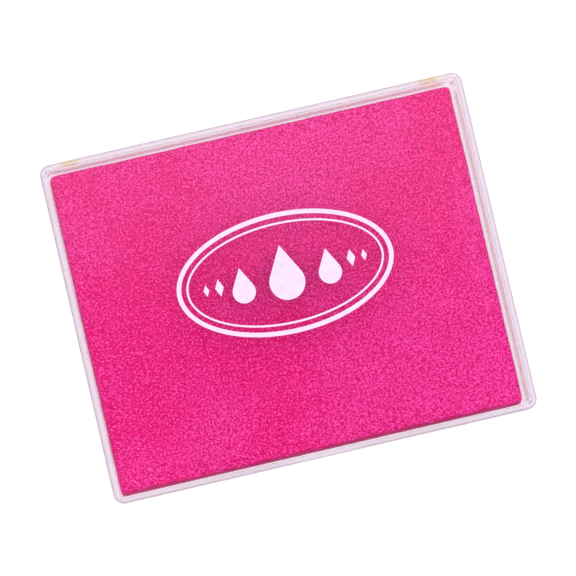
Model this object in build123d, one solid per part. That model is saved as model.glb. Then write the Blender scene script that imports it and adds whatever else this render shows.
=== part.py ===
from build123d import *
import os

# Craft ink pad: a clear hinged case with a cloth-covered foam pad soaked in ink.
#
# The case lies flat and closed, +Z up, long side along X, hinge at the back (+Y).
# The origin is the centre of the case's flat underside.
# The lid turns about the axis of its two hinge pins, which lies just inside the back wall.
# Bevels on both parts' back edges let it open to the stop, well past upright.
# All sizes are in millimetres.

# Case: outer size at the parting line between the base tray and the lid
CASE_LENGTH = 75.0
CASE_WIDTH = 60.0
CASE_HEIGHT = 18.0
BASE_HEIGHT = 9.6
CORNER_RADIUS = 2.0
SHARPEST_CORNER = 0.3
WALL = 1.0
DRAFT_DEG = 1.2

# Base tray
FLOOR = 1.2
FOOT_ROUND = 0.6
SCOOP_LENGTH = 16.0
SCOOP_DEPTH = 0.5
SCOOP_HEIGHT = 4.5

# Lap joint: a thin rim on the tray stands inside a thin skirt on the lid
RIM_HEIGHT = 1.8
RIM_THICKNESS = 0.4
PARTING_GAP = 0.1

# Catches at the front: a raised tab on the rim, with a low bead facing a groove in the skirt.
# The bead stands less proud than the lap joint's gap, so the lid lifts off without touching it.
CATCH_X = 14.2
CATCH_LENGTH = 12.0
CATCH_RISE = 0.9
CATCH_END_GAP = 0.2
BEAD_RADIUS = 0.22
BEAD_INSET = 0.18
GROOVE_RADIUS = 0.32

# Lid
LID_TOP = 1.2
TOP_ROUND = 0.8
INNER_ROUND = 0.25

# Hinge: at each end, a lug on the lid turns between two knuckles on the tray
HINGE_X = 31.9
BARREL_RADIUS = 0.65
AXIS_INSIDE = 0.1
POCKET_RADIUS = 0.75
BACK_BEVEL_DEPTH = 0.3
BACK_BEVEL_HEIGHT = 1.1
LUG_WIDTH = 2.8
KNUCKLE_WIDTH = 1.6
SIDE_GAP = 0.1
PIN_RADIUS = 0.3
PIN_CLEARANCE = 0.05
PIN_RECESS = 0.1
PIN_CHAMFER = 0.1

# Pad: tape, foam block, and a cloth that wraps the foam and turns under its edge
PAD_LENGTH = 71.4
PAD_WIDTH = 56.8
PAD_TOP = 12.5
PAD_CORNER = 0.9
PAD_ROUND = 0.7
PAD_OFF_CENTRE_X = -0.35
PAD_OFF_CENTRE_Y = -0.3
CLOTH = 0.4
HEM_WIDTH = 4.0

# Printed ornament on the lid: an oval frame, three drops and four lozenges
PRINT_THICKNESS = 0.05
PRINT_Y = 2.5
FRAME_LENGTH = 38.0
FRAME_WIDTH = 21.0
FRAME_LINE = 0.8
INNER_LINE = 0.35
INNER_LINE_GAP = 0.9
MIDDLE_DROP_RADIUS = 3.1
SIDE_DROP_RADIUS = 2.0
SIDE_DROP_X = 7.6
DROP_TIP_RATIO = 2.1
DROP_CENTRE_Y = -1.6
LOZENGE_X = (11.6, 13.9)
LOZENGE_HALF_WIDTHS = (0.75, 0.5)
LOZENGE_HALF_HEIGHTS = (1.5, 1.0)

# Values that follow from the sizes above
HALF_WIDTH = CASE_WIDTH / 2
LID_HEIGHT = CASE_HEIGHT - BASE_HEIGHT
RIM_OUTSIDE = WALL - RIM_THICKNESS
SKIRT = RIM_OUTSIDE - PARTING_GAP
SKIRT_TOP = RIM_HEIGHT + PARTING_GAP
AXIS_Y = HALF_WIDTH - AXIS_INSIDE
AXIS_Z = BASE_HEIGHT
HINGE_WIDTH = LUG_WIDTH + 2 * (SIDE_GAP + KNUCKLE_WIDTH)
KNUCKLE_X = (LUG_WIDTH + KNUCKLE_WIDTH) / 2 + SIDE_GAP
CATCH_Y = BEAD_INSET + RIM_OUTSIDE - HALF_WIDTH
CATCH_Z = BASE_HEIGHT + RIM_HEIGHT / 2
TAB_HEIGHT = RIM_HEIGHT + CATCH_RISE
BOTH_SIDES = (-1, 1)


def plan(inset):
    """The case's outline at the parting line, moved inwards on every side."""
    corner = max(CORNER_RADIUS - inset, SHARPEST_CORNER)
    return RectangleRounded(CASE_LENGTH - 2 * inset, CASE_WIDTH - 2 * inset, corner)


def rod_x(x, y, z, radius, length):
    """A round bar along X, centred on a point."""
    return Pos(x, y, z) * Rot(0, 90, 0) * Cylinder(radius, length)


def hinge_rod(x, radius, length):
    """A round bar on the hinge axis."""
    return rod_x(x, AXIS_Y, AXIS_Z, radius, length)


def knuckle_places():
    """The middle of each of the four tray knuckles along the hinge axis."""
    return [side * HINGE_X + way * KNUCKLE_X for side in BOTH_SIDES for way in BOTH_SIDES]


def back_bevel(way):
    """Long wedge that bevels the back edge, above the parting line (1) or below it (-1)."""
    profile = Polygon(
        (HALF_WIDTH - BACK_BEVEL_DEPTH, 0),
        (HALF_WIDTH, way * BACK_BEVEL_HEIGHT),
        (HALF_WIDTH + WALL, way * BACK_BEVEL_HEIGHT),
        (HALF_WIDTH + WALL, 0),
        align=None,
    )
    wedge = extrude(Plane.YZ * profile, CASE_LENGTH / 2, both=True)
    return Pos(0, 0, BASE_HEIGHT) * wedge


def tray_rim():
    """Thin rim of the lap joint, notched at the hinges, with the two raised catch tabs."""
    rim = extrude(plan(RIM_OUTSIDE) - plan(WALL), RIM_HEIGHT)
    tab = Box(CATCH_LENGTH, RIM_THICKNESS, TAB_HEIGHT)
    tab_y = RIM_OUTSIDE + RIM_THICKNESS / 2 - HALF_WIDTH
    notch = Box(HINGE_WIDTH + 2 * SIDE_GAP, 2 * WALL, RIM_HEIGHT)
    for side in BOTH_SIDES:
        rim += Pos(side * CATCH_X, tab_y, TAB_HEIGHT / 2) * tab
        rim -= Pos(side * HINGE_X, HALF_WIDTH - WALL, RIM_HEIGHT / 2) * notch
    return Pos(0, 0, BASE_HEIGHT) * rim


def thumb_scoop():
    """Shallow hollow in the tray's front wall, just under the lid's edge."""
    radius = (SCOOP_LENGTH**2 / 4 + SCOOP_DEPTH**2) / (2 * SCOOP_DEPTH)
    centre_y = SCOOP_DEPTH - HALF_WIDTH - radius
    return Pos(0, centre_y, BASE_HEIGHT - SCOOP_HEIGHT / 2) * Cylinder(radius, SCOOP_HEIGHT)


def base_tray():
    """Open tray with a stepped rim, hinge knuckles, snap beads and a thumb scoop."""
    body = extrude(plan(0), BASE_HEIGHT, dir=(0, 0, -1), taper=DRAFT_DEG)
    body = Pos(0, 0, BASE_HEIGHT) * body
    body = fillet(body.faces().sort_by(Axis.Z)[0].edges(), FOOT_ROUND)
    cavity = extrude(plan(WALL), BASE_HEIGHT - FLOOR, dir=(0, 0, -1), taper=DRAFT_DEG)
    tray = body - Pos(0, 0, BASE_HEIGHT) * cavity + tray_rim() - thumb_scoop() - back_bevel(-1)

    for side in BOTH_SIDES:
        tray -= hinge_rod(side * HINGE_X, POCKET_RADIUS, LUG_WIDTH + 2 * SIDE_GAP)
        tray += rod_x(side * CATCH_X, CATCH_Y, CATCH_Z, BEAD_RADIUS, CATCH_LENGTH)
    for x in knuckle_places():
        tray += hinge_rod(x, BARREL_RADIUS, KNUCKLE_WIDTH)
        tray -= hinge_rod(x, PIN_RADIUS, KNUCKLE_WIDTH)
    return tray


def lid_shell():
    """Shallow clear lid with a thinned skirt, hinge lugs and snap grooves."""
    body = extrude(plan(0), LID_HEIGHT, taper=DRAFT_DEG)
    body = fillet(body.faces().sort_by(Axis.Z)[-1].edges(), TOP_ROUND)
    cavity = extrude(plan(WALL), LID_HEIGHT - LID_TOP, taper=DRAFT_DEG)
    cavity = fillet(cavity.faces().sort_by(Axis.Z)[-1].edges(), INNER_ROUND)
    lap = extrude(plan(SKIRT), SKIRT_TOP)
    root = Box(LUG_WIDTH, 2 * WALL, SKIRT_TOP)
    tab_room_height = TAB_HEIGHT + PARTING_GAP
    tab_room = Box(CATCH_LENGTH + 2 * CATCH_END_GAP, WALL, tab_room_height)
    tab_room_y = SKIRT + WALL / 2 - HALF_WIDTH
    for side in BOTH_SIDES:
        lap -= Pos(side * HINGE_X, HALF_WIDTH, SKIRT_TOP / 2) * root
        lap += Pos(side * CATCH_X, tab_room_y, tab_room_height / 2) * tab_room
    parting = Pos(0, 0, PARTING_GAP / 2) * Box(2 * CASE_LENGTH, 2 * CASE_WIDTH, PARTING_GAP)
    lid = Pos(0, 0, BASE_HEIGHT) * (body - cavity - lap - parting) - back_bevel(1)

    for x in knuckle_places():
        lid -= hinge_rod(x, POCKET_RADIUS, KNUCKLE_WIDTH + 2 * SIDE_GAP)
    for side in BOTH_SIDES:
        lid += hinge_rod(side * HINGE_X, BARREL_RADIUS, LUG_WIDTH)
        lid -= hinge_rod(side * HINGE_X, PIN_RADIUS + PIN_CLEARANCE, LUG_WIDTH)
        lid -= rod_x(side * CATCH_X, CATCH_Y, CATCH_Z, GROOVE_RADIUS, CATCH_LENGTH + SIDE_GAP)
    return lid


def hinge_pin(side):
    """Brass pin pressed into the tray's two knuckles, through the lid's lug."""
    pin = Cylinder(PIN_RADIUS, HINGE_WIDTH - 2 * PIN_RECESS)
    pin = chamfer(pin.edges().filter_by(GeomType.CIRCLE), PIN_CHAMFER)
    return Pos(side * HINGE_X, AXIS_Y, AXIS_Z) * Rot(0, 90, 0) * pin


def pad_block(inset, bottom, top):
    """A block of the pad's outline, moved inwards, with its top edge rounded over."""
    outline = RectangleRounded(
        PAD_LENGTH - 2 * inset, PAD_WIDTH - 2 * inset, PAD_CORNER - inset
    )
    block = extrude(outline, top - bottom)
    block = fillet(block.faces().sort_by(Axis.Z)[-1].edges(), PAD_ROUND - inset)
    return Pos(PAD_OFF_CENTRE_X, PAD_OFF_CENTRE_Y, bottom) * block


def foam_core():
    """Foam block that holds the ink."""
    return pad_block(CLOTH, FLOOR + CLOTH, PAD_TOP - CLOTH)


def pad_tape():
    """Double-sided tape that holds the pad to the tray's floor, inside the hem."""
    inset = CLOTH + HEM_WIDTH
    outline = Rectangle(PAD_LENGTH - 2 * inset, PAD_WIDTH - 2 * inset)
    return Pos(PAD_OFF_CENTRE_X, PAD_OFF_CENTRE_Y, FLOOR) * extrude(outline, CLOTH)


def pad_cloth():
    """Cover cloth over the foam's top and sides, with a hem turned under it."""
    return pad_block(0, FLOOR, PAD_TOP) - foam_core() - pad_tape()


def ink_drop(radius):
    """A plain drop, point up, centred on its round part."""
    tip = radius * DROP_TIP_RATIO
    tangent_y = radius**2 / tip
    tangent_x = (radius**2 - tangent_y**2) ** 0.5
    point = Polygon((-tangent_x, tangent_y), (tangent_x, tangent_y), (0, tip), align=None)
    return Circle(radius) + point


def oval_line(inset, line):
    """An oval ring, moved inwards from the ornament's outer edge."""
    long_half = FRAME_LENGTH / 2 - inset
    short_half = FRAME_WIDTH / 2 - inset
    return Ellipse(long_half, short_half) - Ellipse(long_half - line, short_half - line)


def lozenge(half_width, half_height):
    """An upright diamond."""
    corners = ((half_width, 0), (0, half_height), (-half_width, 0), (0, -half_height))
    return Polygon(*corners, align=None)


def lid_print():
    """Plain ornament printed on top of the lid."""
    marks = [
        oval_line(0, FRAME_LINE),
        oval_line(FRAME_LINE + INNER_LINE_GAP, INNER_LINE),
        Pos(0, DROP_CENTRE_Y) * ink_drop(MIDDLE_DROP_RADIUS),
    ]
    for side in BOTH_SIDES:
        marks.append(Pos(side * SIDE_DROP_X, DROP_CENTRE_Y) * ink_drop(SIDE_DROP_RADIUS))
        for x, half_width, half_height in zip(
            LOZENGE_X, LOZENGE_HALF_WIDTHS, LOZENGE_HALF_HEIGHTS
        ):
            marks.append(Pos(side * x, 0) * lozenge(half_width, half_height))
    layer = [extrude(mark, PRINT_THICKNESS) for mark in marks]
    return Pos(0, PRINT_Y, CASE_HEIGHT) * Compound(children=layer)


PARTS = {
    "base_tray": base_tray(),
    "lid_shell": lid_shell(),
    "lid_print": lid_print(),
    "hinge_pin_left": hinge_pin(-1),
    "hinge_pin_right": hinge_pin(1),
    "foam_core": foam_core(),
    "pad_cloth": pad_cloth(),
    "pad_tape": pad_tape(),
}

os.makedirs("parts", exist_ok=True)
for name, solid in PARTS.items():
    export_step(solid, f"parts/{name}.step")
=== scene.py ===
"""Craft ink pad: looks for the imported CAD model. Metres, +Z up, hinge at +Y."""

import math

import bmesh
import bpy
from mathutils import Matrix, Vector, noise


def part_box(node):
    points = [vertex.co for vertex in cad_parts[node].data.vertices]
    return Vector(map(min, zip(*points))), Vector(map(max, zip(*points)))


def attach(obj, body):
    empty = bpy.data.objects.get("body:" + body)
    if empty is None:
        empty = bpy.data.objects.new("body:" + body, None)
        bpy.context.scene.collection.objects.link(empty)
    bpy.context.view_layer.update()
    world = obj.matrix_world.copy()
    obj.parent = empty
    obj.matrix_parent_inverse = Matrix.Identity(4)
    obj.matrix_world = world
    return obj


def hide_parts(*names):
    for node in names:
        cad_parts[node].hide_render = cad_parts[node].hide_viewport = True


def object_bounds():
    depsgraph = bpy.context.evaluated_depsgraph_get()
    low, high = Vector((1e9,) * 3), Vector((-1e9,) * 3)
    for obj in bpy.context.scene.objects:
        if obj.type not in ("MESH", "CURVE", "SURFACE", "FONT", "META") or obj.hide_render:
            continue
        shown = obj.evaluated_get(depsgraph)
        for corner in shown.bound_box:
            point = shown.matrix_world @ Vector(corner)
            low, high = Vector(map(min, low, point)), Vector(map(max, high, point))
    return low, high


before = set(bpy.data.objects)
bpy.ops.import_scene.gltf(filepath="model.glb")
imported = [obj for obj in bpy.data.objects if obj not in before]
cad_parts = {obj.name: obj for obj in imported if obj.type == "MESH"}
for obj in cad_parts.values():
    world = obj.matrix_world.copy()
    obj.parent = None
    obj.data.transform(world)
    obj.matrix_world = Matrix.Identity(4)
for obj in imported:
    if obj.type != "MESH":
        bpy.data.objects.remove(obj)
cad_low, cad_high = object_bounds()

MM = 0.001

# Camera: nearly overhead, a little to the front and left, with the case turned in the picture
CAMERA_DISTANCE = 610.2 * MM
CAMERA_HALF_VIEW_DEG = 4.705
TILT_LEFT_DEG = 2.26
TILT_FRONT_DEG = 2.55
ROLL_DEG = -13.12
AIM_HEIGHT = 9 * MM
AIM_RIGHT = 0.16 * MM
AIM_UP = 0.30 * MM
SENSOR = 36.0
CLIP_START = 10 * MM

# Studio: bright all round, dimmer straight overhead so that the lid's top mirrors little,
# with a feathered glow towards the back right
SIDE_STRENGTH = 0.95
OVERHEAD_DIM = 0.07
OVERHEAD_GLOW = 0.39
OVERHEAD_EDGE_DEG = 7.5
OVERHEAD_INNER_DEG = 5.2
GLOW_LEAN = (0.15, 0.99, 0.0)
GLOW_START = 0.03
GLOW_FULL = 0.09
FLOOR_GLOW = 0.95
LAMP_HEIGHT = 0.9
LAMP_SIZE = 0.9
LAMP_POWER = 5.7
FLOOR_DROP = 0.06 * MM
FLOOR_SIZE = 6.0

# Plastic: PLASTIC_TINT and PLASTIC_DENSITY say what light loses in each colour inside it.
# A band is where something starts and where it is full: distances in from the case's outside,
# down from the lid's top for RIM_HEIGHT_BAND, and along from a pin's middle for PIN_GLINT_BAND.
PLASTIC_IOR = 1.5
PLASTIC_DENSITY = 9.0
PLASTIC_TINT = (0.86, 0.30, 0.84)
CASE_TINT = (0.995, 0.97, 0.99)
# Partly painted light: the case's pink over its flat faces is ink stain and also painted pink
# light reflected from the pad
CASE_STAIN_AND_BOUNCE = (0.985, 0.86, 0.945)
CASE_HAZE = 0.2
LID_TINT = (0.992, 0.98, 0.996)
LID_RIM_COLOUR = (0.80, 0.69, 0.80)
LID_HAZE = 0.14
SHADOW_CLEARNESS = 0.97
HAZE_BAND = (2.2 * MM, 1.2 * MM)
STAIN_AND_BOUNCE_BAND = (1.5 * MM, 0.9 * MM)
RIM_BAND = (1.5 * MM, 0.8 * MM)
RIM_HEIGHT_BAND = (1.4 * MM, 0.7 * MM)
RIM_CLEARNESS = 0.6
# Painted reflection: a pale yellow glint of the brass pins, put into the lid rim's colour over
# each pin
PAINTED_PIN_GLINT = (0.88, 0.75, 0.5)
PIN_GLINT_BAND = (2.8 * MM, 0.4 * MM)
PIN_GLINT_BACK_BAND = (1.5 * MM, 1.1 * MM)

# Ink and cloth: the sizes are of the pattern's features; the band of painted shade runs in from
# the pad's front
GRAIN = 0.31 * MM
FIBRE = 0.15 * MM
BLOTCH = 22 * MM
LIGHT_INK = (0.99, 0.036, 0.37)
DEEP_INK = (0.97, 0.004, 0.23)
DARK_GRAIN = (0.67, 0.001, 0.13)
BRIGHT_GRAIN = (1.0, 0.10, 0.46)
# Painted shade: a deeper, darker pink low along the pad's front, where it meets the front wall
PAINTED_FRONT_SHADE = (0.62, 0.004, 0.16)
FRONT_SHADE_BAND = (0.95 * MM, 0.65 * MM)
FRONT_SHADE_WOBBLE = 0.35 * MM

# Print, hinge pins, tape and floor: each pair is one material's two shades
PRINT_SHADES = ((0.62, 0.50, 0.66), (0.69, 0.55, 0.73))
BRASS_SHADES = ((1.0, 0.86, 0.42), (0.95, 0.74, 0.30))
BRASS_METALLIC = 0.3
TAPE_SHADES = ((0.80, 0.74, 0.68), (0.90, 0.87, 0.82))
TAPE_SOAKED = (0.88, 0.30, 0.50)
FLOOR_SHADES = ((0.20, 0.20, 0.20), (0.22, 0.22, 0.22))

# Pad: sides bulge and the top crowns, by cloth simulation at a larger scale
PAD_GRID = 0.75 * MM
PAD_START_INSET = 0.1 * MM
PAD_CORNER = 0.7 * MM
PAD_EDGE_ROUND = 0.4 * MM
RIM_PULL_LEFT = 0.5 * MM
RIM_PULL_FRONT = 0.9 * MM
RIM_PULL_DEPTH = 4.5 * MM
RIM_PULL_PATCH = 9 * MM
RIM_PULL_UNEVEN = 0.5
WANDER = 0.07 * MM
WANDER_PATCH = 3.5 * MM
HELD_HEIGHT = 2.0 * MM
SIM_SCALE = 20.0
SIM_FRAMES = 20
SIM_PRESSURE = 4.0
SIM_QUALITY = 6
SIM_MASS = 0.3
SIM_STIFFNESS = 30
SIM_BENDING = 4
MOST_SWELL = 0.45 * MM
MOST_SIDE_SWELL = 0.12 * MM
LEFT_FRONT_PROUD = 0.13 * MM
RIGHT_BACK_PROUD = 0.2 * MM
PAD_FLOOR_CLEARANCE = 0.02 * MM


def new_material(name):
    """A new node material, with its node tree, its shader and its output node."""
    material = bpy.data.materials.new(name)
    material.use_nodes = True
    tree = material.node_tree
    tree.nodes.clear()
    output = tree.nodes.new("ShaderNodeOutputMaterial")
    shader = tree.nodes.new("ShaderNodeBsdfPrincipled")
    tree.links.new(shader.outputs["BSDF"], output.inputs["Surface"])
    return material, tree, shader, output


def object_coordinates(tree):
    """The surface's own coordinates in metres."""
    return tree.nodes.new("ShaderNodeTexCoord").outputs["Object"]


def split_coordinates(tree):
    """The same coordinates as three outputs, X, Y and Z."""
    split = tree.nodes.new("ShaderNodeSeparateXYZ")
    tree.links.new(object_coordinates(tree), split.inputs["Vector"])
    return split.outputs


def math_value(tree, operation, first, second=None):
    """The result of a Math node; the first value is an output, the second may be a number."""
    node = tree.nodes.new("ShaderNodeMath")
    node.operation = operation
    tree.links.new(first, node.inputs[0])
    if isinstance(second, (int, float)):
        node.inputs[1].default_value = second
    elif second is not None:
        tree.links.new(second, node.inputs[1])
    return node.outputs[0]


def noise_value(tree, size, detail=2.0, roughness=0.5, distortion=0.0):
    """A noise pattern whose features are about this size, from 0 to 1."""
    node = tree.nodes.new("ShaderNodeTexNoise")
    node.inputs["Scale"].default_value = 1.0 / size
    node.inputs["Detail"].default_value = detail
    node.inputs["Roughness"].default_value = roughness
    node.inputs["Distortion"].default_value = distortion
    tree.links.new(object_coordinates(tree), node.inputs["Vector"])
    return node.outputs["Fac"]


def remapped(tree, value, low, high, to_low=0.0, to_high=1.0):
    """value, with the stretch from low to high turned smoothly into the new one."""
    node = tree.nodes.new("ShaderNodeMapRange")
    node.interpolation_type = "SMOOTHSTEP"
    tree.links.new(value, node.inputs["Value"])
    node.inputs["From Min"].default_value = low
    node.inputs["From Max"].default_value = high
    node.inputs["To Min"].default_value = to_low
    node.inputs["To Max"].default_value = to_high
    return node.outputs["Result"]


def mixed_colour(tree, factor, first, second):
    """A colour between two, each a colour or another node's output."""
    node = tree.nodes.new("ShaderNodeMix")
    node.data_type = "RGBA"
    tree.links.new(factor, node.inputs["Factor"])
    for socket, colour in ((node.inputs["A"], first), (node.inputs["B"], second)):
        if isinstance(colour, tuple):
            socket.default_value = (*colour, 1.0)
        else:
            tree.links.new(colour, socket)
    return node.outputs["Result"]


def add_bump(tree, shader, height, depth, strength=1.0, under=None):
    """A bump of a real depth in metres on the shader's normal."""
    node = tree.nodes.new("ShaderNodeBump")
    node.inputs["Strength"].default_value = strength
    node.inputs["Distance"].default_value = depth
    tree.links.new(height, node.inputs["Height"])
    if under is not None:
        tree.links.new(under, node.inputs["Normal"])
    tree.links.new(node.outputs["Normal"], shader.inputs["Normal"])
    return node.outputs["Normal"]


def front_shade_share(tree):
    """1 in an uneven band low along the pad's front edge, where painted shade darkens the cloth
    beside the front wall.
    """
    wobble = remapped(tree, noise_value(tree, 3.5 * MM), 0.3, 0.7, 0.0, FRONT_SHADE_WOBBLE)
    place = math_value(tree, "ADD", split_coordinates(tree)["Y"], wobble)
    start, full = FRONT_SHADE_BAND
    return remapped(tree, place, pad_low.y + start, pad_low.y + full)


def ink_cloth():
    """Damp cloth soaked in pink ink: fine worm-like grain over broad soft blotches, with painted
    shade along its front edge.
    """
    material, tree, shader, _ = new_material("ink_cloth")
    blotches = noise_value(tree, BLOTCH, detail=3.0)
    grain = noise_value(tree, GRAIN, detail=1.0, roughness=0.4, distortion=0.5)
    fibres = noise_value(tree, FIBRE, roughness=0.6)
    broad = mixed_colour(tree, remapped(tree, blotches, 0.36, 0.64), DEEP_INK, LIGHT_INK)
    grained = mixed_colour(tree, remapped(tree, grain, 0.36, 0.56), DARK_GRAIN, broad)
    coloured = mixed_colour(tree, remapped(tree, grain, 0.53, 0.70), grained, BRIGHT_GRAIN)
    # Painted shade along the cloth's front edge
    front_shaded = mixed_colour(tree, front_shade_share(tree), coloured, PAINTED_FRONT_SHADE)
    tree.links.new(front_shaded, shader.inputs["Base Color"])
    tree.links.new(remapped(tree, grain, 0.3, 0.7, 0.66, 0.5), shader.inputs["Roughness"])
    shader.inputs["Sheen Weight"].default_value = 0.05
    shader.inputs["Sheen Roughness"].default_value = 0.5
    shader.inputs["Specular IOR Level"].default_value = 0.12
    nap = add_bump(tree, shader, grain, 0.07 * MM, 0.7)
    add_bump(tree, shader, fibres, 0.03 * MM, 0.6, under=nap)
    return material


def edge_share(tree, band):
    """0 over the case's flat faces, rising to 1 in its walls; the band runs from its outside."""
    start, full = band
    split = split_coordinates(tree)
    shares = []
    for axis, half in (("X", cad_high[0]), ("Y", -cad_low[1])):
        distance = math_value(tree, "ABSOLUTE", split[axis])
        shares.append(remapped(tree, distance, half - start, half - full))
    return math_value(tree, "MAXIMUM", *shares)


def top_rim_share(tree):
    """1 on the lid's top edge, over its walls, fading to 0 inwards and downwards."""
    start, full = RIM_HEIGHT_BAND
    height = remapped(tree, split_coordinates(tree)["Z"], lid_top - start, lid_top - full)
    return math_value(tree, "MULTIPLY", height, edge_share(tree, RIM_BAND))


def pin_glint_share(tree):
    """1 where the lid's rim lies over a brass pin, where a yellow glint of the pin is painted into
    its colour.
    """
    split = split_coordinates(tree)
    from_middle = math_value(tree, "ABSOLUTE", split["X"])
    from_pin = math_value(tree, "ABSOLUTE", math_value(tree, "SUBTRACT", from_middle, pin_x))
    along = remapped(tree, from_pin, *PIN_GLINT_BAND)
    start, full = PIN_GLINT_BACK_BAND
    back = remapped(tree, split["Y"], -cad_low[1] - start, -cad_low[1] - full)
    return math_value(tree, "MULTIPLY", along, back)


def clear_plastic(name, tint, edge_haze, pink_tint, milky_rim=False):
    """Clear moulded polystyrene: pinker where it is deep, with slightly hazy walls.

    The pink tint is what ink has left inside the walls; on the case it is also painted pink
    light reflected from the pad. A milky rim scatters light along the lid's top edge instead,
    and has that tint. Lamps' rays pass straight through.
    """
    material, tree, shader, output = new_material(name)
    ripple = noise_value(tree, 14 * MM)
    scuffs = noise_value(tree, 1.6 * MM, detail=5.0, roughness=0.7)
    shader.inputs["Transmission Weight"].default_value = 1.0
    if milky_rim:
        rim = top_rim_share(tree)
        clearness = remapped(tree, rim, 0.0, 1.0, 1.0, RIM_CLEARNESS)
        tree.links.new(clearness, shader.inputs["Transmission Weight"])
        # Painted reflection: over each brass pin the rim's colour turns pale yellow, a glint
        # painted in
        rim_colour_and_glint = mixed_colour(tree, pin_glint_share(tree), pink_tint, PAINTED_PIN_GLINT)
        colour = mixed_colour(tree, rim, tint, rim_colour_and_glint)
    else:
        # On the case, the pink over the flat faces inside the walls is ink stain and painted pink
        # light from the pad
        colour = mixed_colour(tree, edge_share(tree, STAIN_AND_BOUNCE_BAND), pink_tint, tint)
    tree.links.new(colour, shader.inputs["Base Color"])
    shader.inputs["IOR"].default_value = PLASTIC_IOR
    haze = remapped(tree, scuffs, 0.3, 0.7, 0.7 * edge_haze, edge_haze)
    roughness = math_value(tree, "MULTIPLY", haze, edge_share(tree, HAZE_BAND))
    tree.links.new(roughness, shader.inputs["Roughness"])
    add_bump(tree, shader, ripple, 0.03 * MM, 0.2)
    depth = tree.nodes.new("ShaderNodeVolumeAbsorption")
    depth.inputs["Color"].default_value = (*PLASTIC_TINT, 1.0)
    depth.inputs["Density"].default_value = PLASTIC_DENSITY
    tree.links.new(depth.outputs["Volume"], output.inputs["Volume"])
    path = tree.nodes.new("ShaderNodeLightPath")
    through = tree.nodes.new("ShaderNodeBsdfTransparent")
    through.inputs["Color"].default_value = (*(SHADOW_CLEARNESS * c for c in tint), 1.0)
    mix = tree.nodes.new("ShaderNodeMixShader")
    tree.links.new(path.outputs["Is Shadow Ray"], mix.inputs["Fac"])
    tree.links.new(shader.outputs["BSDF"], mix.inputs[1])
    tree.links.new(through.outputs["BSDF"], mix.inputs[2])
    tree.links.new(mix.outputs["Shader"], output.inputs["Surface"])
    return material


def print_ink():
    """Screen-printed white ink, a little thin and uneven, with a faint tooth."""
    material, tree, shader, _ = new_material("print_ink")
    cover = noise_value(tree, 1.1 * MM, detail=4.0, roughness=0.6)
    tooth = noise_value(tree, 0.12 * MM)
    colour = mixed_colour(tree, remapped(tree, cover, 0.3, 0.62), *PRINT_SHADES)
    tree.links.new(colour, shader.inputs["Base Color"])
    tree.links.new(remapped(tree, cover, 0.3, 0.7, 0.42, 0.6), shader.inputs["Roughness"])
    add_bump(tree, shader, tooth, 0.01 * MM, 0.5)
    return material


def brass():
    """Drawn brass wire, slightly dulled."""
    material, tree, shader, _ = new_material("brass")
    tarnish = noise_value(tree, 0.9 * MM, detail=4.0)
    colour = mixed_colour(tree, remapped(tree, tarnish, 0.35, 0.7), *BRASS_SHADES)
    tree.links.new(colour, shader.inputs["Base Color"])
    tree.links.new(remapped(tree, tarnish, 0.3, 0.7, 0.35, 0.5), shader.inputs["Roughness"])
    shader.inputs["Metallic"].default_value = BRASS_METALLIC
    add_bump(tree, shader, noise_value(tree, 0.1 * MM), 0.004 * MM, 0.6)
    return material


def tape():
    """Off-white tissue tape, with ink that has soaked in from the pad in places."""
    material, tree, shader, _ = new_material("tape")
    fibres = noise_value(tree, 0.8 * MM, detail=5.0, roughness=0.65, distortion=1.2)
    soaked = noise_value(tree, 15 * MM, detail=4.0)
    paper = mixed_colour(tree, remapped(tree, fibres, 0.3, 0.7), *TAPE_SHADES)
    colour = mixed_colour(tree, remapped(tree, soaked, 0.52, 0.68), paper, TAPE_SOAKED)
    tree.links.new(colour, shader.inputs["Base Color"])
    tree.links.new(remapped(tree, fibres, 0.3, 0.7, 0.7, 0.9), shader.inputs["Roughness"])
    add_bump(tree, shader, fibres, 0.03 * MM, 0.5)
    return material


def floor_paper():
    """Studio paper, lit evenly from within so that it renders white under the soft light."""
    material, tree, shader, _ = new_material("floor_paper")
    tone = noise_value(tree, 60 * MM, detail=3.0)
    colour = mixed_colour(tree, tone, *FLOOR_SHADES)
    tree.links.new(colour, shader.inputs["Base Color"])
    tree.links.new(remapped(tree, tone, 0.3, 0.7, 0.8, 0.9), shader.inputs["Roughness"])
    add_bump(tree, shader, noise_value(tree, 0.5 * MM), 0.01 * MM, 0.2)
    shader.inputs["Emission Color"].default_value = (1.0, 1.0, 1.0, 1.0)
    shader.inputs["Emission Strength"].default_value = FLOOR_GLOW
    return material


def make_camera():
    """The camera, aimed at the middle of the case and turned about its own line of sight."""
    toward_camera = Vector(
        (-math.tan(math.radians(TILT_LEFT_DEG)), -math.tan(math.radians(TILT_FRONT_DEG)), 1.0)
    ).normalized()
    right = (-toward_camera).cross(Vector((0, 1, 0))).normalized()
    up = right.cross(-toward_camera)
    roll = math.radians(ROLL_DEG)
    turned_right = math.cos(roll) * right + math.sin(roll) * up
    turned_up = -math.sin(roll) * right + math.cos(roll) * up
    data = bpy.data.cameras.new("camera")
    data.sensor_width = SENSOR
    data.lens = SENSOR / 2 / math.tan(math.radians(CAMERA_HALF_VIEW_DEG))
    data.clip_start = CLIP_START
    camera = bpy.data.objects.new("camera", data)
    matrix = camera.matrix_world
    for row in range(3):
        matrix[row][0] = turned_right[row]
        matrix[row][1] = turned_up[row]
        matrix[row][2] = toward_camera[row]
    place = Vector((0, 0, AIM_HEIGHT)) + toward_camera * CAMERA_DISTANCE
    matrix.translation = place + turned_right * AIM_RIGHT + turned_up * AIM_UP
    camera.matrix_world = matrix
    bpy.context.scene.collection.objects.link(camera)
    bpy.context.scene.camera = camera


def cosine_to(tree, toward):
    """The cosine of the angle between a direction in the world and this one."""
    facing = tree.nodes.new("ShaderNodeVectorMath")
    facing.operation = "DOT_PRODUCT"
    facing.inputs[1].default_value = toward
    direction = tree.nodes.new("ShaderNodeTexCoord").outputs["Generated"]
    tree.links.new(direction, facing.inputs[0])
    return facing.outputs["Value"]


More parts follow.
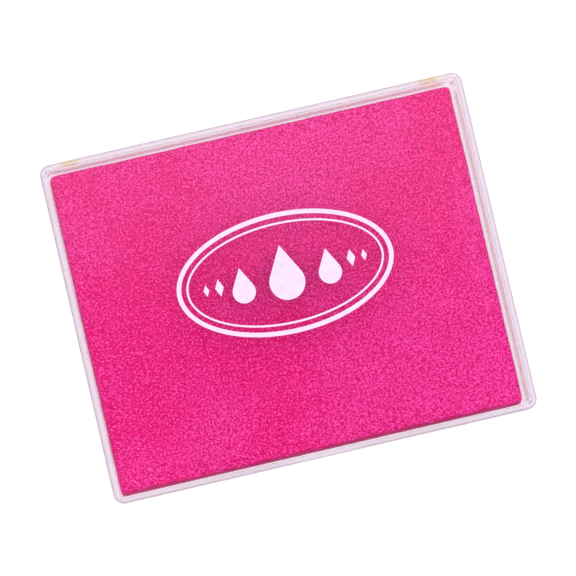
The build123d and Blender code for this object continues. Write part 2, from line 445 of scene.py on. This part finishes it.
def make_world():
    """Pale room light, dimmer where the lid's flat top mirrors it, with a feathered glow there."""
    world = bpy.data.worlds.new("studio")
    world.use_nodes = True
    bpy.context.scene.world = world
    tree = world.node_tree
    overhead = remapped(
        tree, cosine_to(tree, GLOW_LEAN), GLOW_START, GLOW_FULL, OVERHEAD_DIM, OVERHEAD_GLOW
    )
    mirrored = Vector(
        (math.tan(math.radians(TILT_LEFT_DEG)), math.tan(math.radians(TILT_FRONT_DEG)), 1.0)
    ).normalized()
    edge, inner = (math.cos(math.radians(a)) for a in (OVERHEAD_EDGE_DEG, OVERHEAD_INNER_DEG))
    blend = tree.nodes.new("ShaderNodeMix")
    nearness = remapped(tree, cosine_to(tree, mirrored), edge, inner)
    tree.links.new(nearness, blend.inputs["Factor"])
    blend.inputs["A"].default_value = SIDE_STRENGTH
    tree.links.new(overhead, blend.inputs["B"])
    background = tree.nodes["Background"]
    background.inputs["Color"].default_value = (1.0, 1.0, 1.0, 1.0)
    tree.links.new(blend.outputs["Result"], background.inputs["Strength"])


def make_lamp():
    """A soft overhead lamp that lights the pad and isn't seen in the plastic."""
    data = bpy.data.lights.new("softbox", "AREA")
    data.size = LAMP_SIZE
    data.energy = LAMP_POWER
    lamp = bpy.data.objects.new("softbox", data)
    lamp.location = (0.0, 0.0, LAMP_HEIGHT)
    lamp.visible_camera = False
    lamp.visible_glossy = False
    lamp.visible_transmission = False
    bpy.context.scene.collection.objects.link(lamp)


def make_floor():
    """A wide sheet of studio paper, just under the case."""
    mesh = bpy.data.meshes.new("floor")
    half = FLOOR_SIZE / 2
    corners = [(-half, -half), (half, -half), (half, half), (-half, half)]
    mesh.from_pydata([(x, y, -FLOOR_DROP) for x, y in corners], [], [(0, 1, 2, 3)])
    floor = bpy.data.objects.new("floor", mesh)
    floor.data.materials.append(floor_paper())
    bpy.context.scene.collection.objects.link(floor)


def make_studio():
    """The surroundings, the lamp and the floor."""
    bpy.context.scene.view_settings.view_transform = "Standard"
    make_world()
    make_lamp()
    make_floor()


def paint(node, material):
    """Gives a CAD node a finished material in place of its plain one."""
    node_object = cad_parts[node]
    if not node_object.data.materials:
        node_object.data.materials.append(material)
    for place in node_object.material_slots:
        place.material = material


def grid_block(low, high, step):
    """A closed box of nearly square faces, with its corners at low and high."""
    counts = [max(2, round((high[i] - low[i]) / step)) for i in range(3)]
    made = bmesh.new()
    seen = {}

    def corner(i, j, k):
        key = (i, j, k)
        if key not in seen:
            share = (i / counts[0], j / counts[1], k / counts[2])
            seen[key] = made.verts.new([low[a] + (high[a] - low[a]) * share[a] for a in range(3)])
        return seen[key]

    for axis in range(3):
        a, b = [x for x in range(3) if x != axis]
        for end in (0, counts[axis]):
            for i in range(counts[a]):
                for j in range(counts[b]):
                    loop = []
                    for di, dj in ((0, 0), (1, 0), (1, 1), (0, 1)):
                        key = [0, 0, 0]
                        key[axis], key[a], key[b] = end, i + di, j + dj
                        loop.append(corner(*key))
                    made.faces.new(loop)
    bmesh.ops.recalc_face_normals(made, faces=made.faces)
    return made


def round_block(made, low, high, side_radius, top_radius):
    """Pulls a grid block's upright corners and its top edge into rounds."""
    for vertex in made.verts:
        inner_x = min(max(vertex.co.x, low.x + side_radius), high.x - side_radius)
        inner_y = min(max(vertex.co.y, low.y + side_radius), high.y - side_radius)
        out = Vector((vertex.co.x - inner_x, vertex.co.y - inner_y))
        if out.length > side_radius:
            out = out.normalized() * side_radius
            vertex.co.x, vertex.co.y = inner_x + out.x, inner_y + out.y
    for vertex in made.verts:
        inner_x = min(max(vertex.co.x, low.x + top_radius), high.x - top_radius)
        inner_y = min(max(vertex.co.y, low.y + top_radius), high.y - top_radius)
        inner = Vector((inner_x, inner_y, min(vertex.co.z, high.z - top_radius)))
        out = vertex.co - inner
        if vertex.co.z > inner.z and out.length > top_radius:
            vertex.co = inner + out.normalized() * top_radius


def swell(piece, start):
    """Cloth simulation with pressure, at a larger scale, capped so that it stays in its tray."""
    for vertex in piece.data.vertices:
        vertex.co *= SIM_SCALE
    group = piece.vertex_groups.new(name="held")
    held_below = pad_low.z + HELD_HEIGHT
    held = [v.index for v in piece.data.vertices if start[v.index].z < held_below]
    group.add(held, 1.0, "REPLACE")
    cloth = piece.modifiers.new("cloth", "CLOTH")
    settings = cloth.settings
    settings.vertex_group_mass = group.name
    settings.effector_weights.gravity = 0.0
    settings.use_pressure = True
    settings.uniform_pressure_force = SIM_PRESSURE
    settings.quality = SIM_QUALITY
    settings.mass = SIM_MASS
    settings.tension_stiffness = SIM_STIFFNESS
    settings.compression_stiffness = SIM_STIFFNESS
    settings.bending_stiffness = SIM_BENDING
    cloth.point_cache.frame_end = SIM_FRAMES
    scene = bpy.context.scene
    for step in range(1, SIM_FRAMES + 1):
        scene.frame_set(step)
    graph = bpy.context.evaluated_depsgraph_get()
    shaped = [v.co / SIM_SCALE for v in piece.evaluated_get(graph).data.vertices]
    piece.modifiers.remove(cloth)
    piece.vertex_groups.clear()
    scene.frame_set(1)
    middle = (pad_low + pad_high) / 2
    for vertex in piece.data.vertices:
        first = start[vertex.index]
        moved = shaped[vertex.index] - first
        for axis in range(2):
            side = 1 if first[axis] > middle[axis] else -1
            moved[axis] = side * min(max(0.0, side * moved[axis]), MOST_SIDE_SWELL)
        if moved.length > MOST_SWELL:
            moved = moved.normalized() * MOST_SWELL
        vertex.co = first + moved


def smoothed(piece):
    """Replaces the piece's mesh with itself after one subdivision."""
    modifier = piece.modifiers.new("smooth", "SUBSURF")
    modifier.levels = modifier.render_levels = 1
    graph = bpy.context.evaluated_depsgraph_get()
    mesh = bpy.data.meshes.new_from_object(piece.evaluated_get(graph))
    piece.modifiers.remove(modifier)
    piece.data = mesh
    mesh.name = piece.name
    return mesh


def pull_rim(mesh, low, high):
    """Draws the left and front sides in towards the top, where cloth is pulled over the edge."""
    for vertex in mesh.vertices:
        below_top = min(1.0, (high.z - vertex.co.z) / RIM_PULL_DEPTH)
        pull = (1 - below_top) ** 2
        from_right = (high.x - vertex.co.x) / (high.x - low.x)
        from_back = (high.y - vertex.co.y) / (high.y - low.y)
        flat = Vector((vertex.co.x, vertex.co.y, 0))
        uneven = 1 + RIM_PULL_UNEVEN * noise.noise(flat / RIM_PULL_PATCH)
        vertex.co.x += RIM_PULL_LEFT * pull * from_right
        vertex.co.y += RIM_PULL_FRONT * pull * from_back * uneven


def fill_box(mesh, low, high):
    """Stretches the mesh slightly along each axis so that it just fills the box."""
    for axis in range(3):
        places = [vertex.co[axis] for vertex in mesh.vertices]
        first, last = min(places), max(places)
        for vertex in mesh.vertices:
            share = (vertex.co[axis] - first) / (last - first)
            vertex.co[axis] = low[axis] + (high[axis] - low[axis]) * share


def roughen(mesh, low, high):
    """Small bumps all over the cloth, fading out towards the tray's floor."""
    for vertex in mesh.vertices:
        height = (vertex.co.z - low.z) / (high.z - low.z)
        wander = noise.noise_vector(vertex.co / WANDER_PATCH) * WANDER
        vertex.co += wander * max(0.0, min(1.0, height * 2))


def make_pad():
    """The cloth-covered foam pad, crowned and soft-edged, in the space of its CAD solids."""
    inset = Vector((PAD_START_INSET, PAD_START_INSET, 0))
    low = pad_low + inset + Vector((0, 0, PAD_FLOOR_CLEARANCE))
    high = pad_high - inset - Vector((0, 0, PAD_START_INSET))
    made = grid_block(low, high, PAD_GRID)
    round_block(made, low, high, PAD_CORNER, PAD_EDGE_ROUND)
    mesh = bpy.data.meshes.new("ink_pad_cloth")
    made.to_mesh(mesh)
    made.free()
    piece = bpy.data.objects.new("ink_pad_cloth", mesh)
    bpy.context.scene.collection.objects.link(piece)
    swell(piece, [v.co.copy() for v in mesh.vertices])
    mesh = smoothed(piece)
    roughen(mesh, low, high)
    pull_rim(mesh, low, high)
    fill_box(
        mesh,
        pad_low - Vector((LEFT_FRONT_PROUD, LEFT_FRONT_PROUD, -PAD_FLOOR_CLEARANCE)),
        pad_high + Vector((RIGHT_BACK_PROUD, RIGHT_BACK_PROUD, 0)),
    )
    for face in mesh.polygons:
        face.use_smooth = True
    mesh.materials.append(ink_cloth())
    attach(piece, "base")
    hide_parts("pad_cloth", "foam_core")


pad_low, pad_high = (Vector(corner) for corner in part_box("pad_cloth"))
lid_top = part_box("lid_shell")[1][2]
pin_x = sum(corner[0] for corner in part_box("hinge_pin_right")) / 2

make_camera()
make_studio()
paint("base_tray", clear_plastic("clear_case", CASE_TINT, CASE_HAZE, CASE_STAIN_AND_BOUNCE))
paint(
    "lid_shell",
    clear_plastic("clear_lid", LID_TINT, LID_HAZE, LID_RIM_COLOUR, milky_rim=True),
)
paint("lid_print", print_ink())
paint("pad_tape", tape())
brass_material = brass()
for pin in ("hinge_pin_left", "hinge_pin_right"):
    paint(pin, brass_material)
make_pad()
